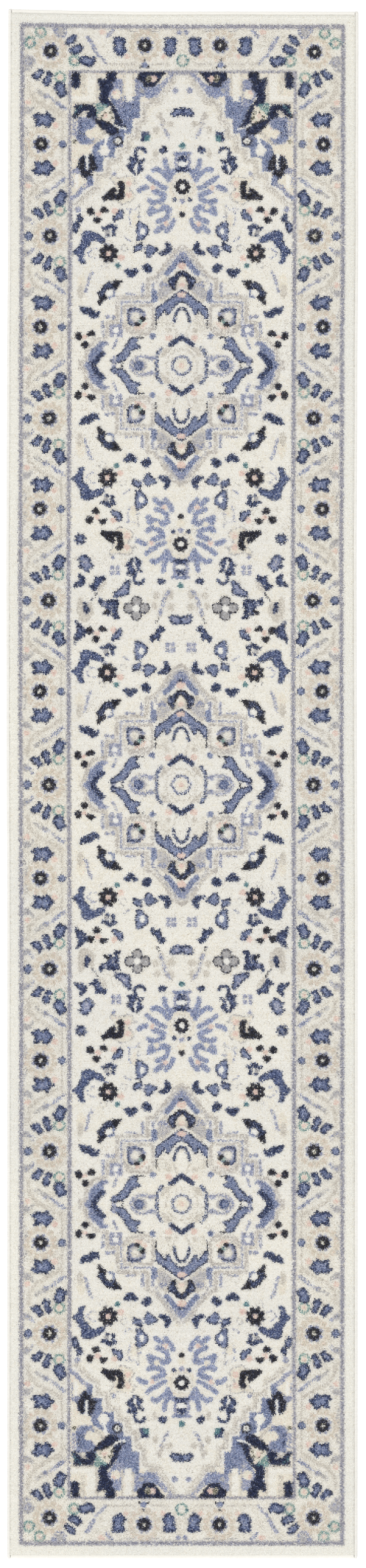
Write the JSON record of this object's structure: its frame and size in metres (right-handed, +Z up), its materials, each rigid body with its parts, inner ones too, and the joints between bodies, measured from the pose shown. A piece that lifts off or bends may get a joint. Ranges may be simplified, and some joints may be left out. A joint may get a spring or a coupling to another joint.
{
  "type": "runner rug",
  "caption": "Long narrow woven runner rug with a cut pile, overcast long edges, hemmed ends and a latex-backed ground weave; lies flat on a floor.",
  "frame": {"origin": "centre of the underside, on the floor that the rug lies on", "axes": "+Y along the rug's length towards the far end, +X across its width to the right edge, +Z up out of the pile"},
  "size_m": [0.69, 3.05, 0.011],
  "materials": {
    "pile_yarn": "heat-set cut pile yarn, matte with a faint sheen; ivory ground with lavender grey, periwinkle, navy, taupe and blush motifs",
    "ground_cloth": "plain woven jute and cotton ground",
    "latex": "thin dried latex size over the weave, dull",
    "filler_cord": "twisted filler cord",
    "serging_yarn": "close overcast yarn, soft satin",
    "hem_cloth": "flat woven ground cloth turned over, ivory",
    "stitch_thread": "polyester sewing thread"
  },
  "bodies": {
    "root": {"pile": "pile_yarn", "ground_weave": "ground_cloth", "latex_backing": "latex", "edge_cord_left": "filler_cord", "edge_cord_right": "filler_cord", "serging_left": "serging_yarn", "serging_right": "serging_yarn", "end_hem_far": "hem_cloth", "end_hem_near": "hem_cloth", "hem_stitching_far": "stitch_thread", "hem_stitching_near": "stitch_thread"}
  },
  "joints": []
}
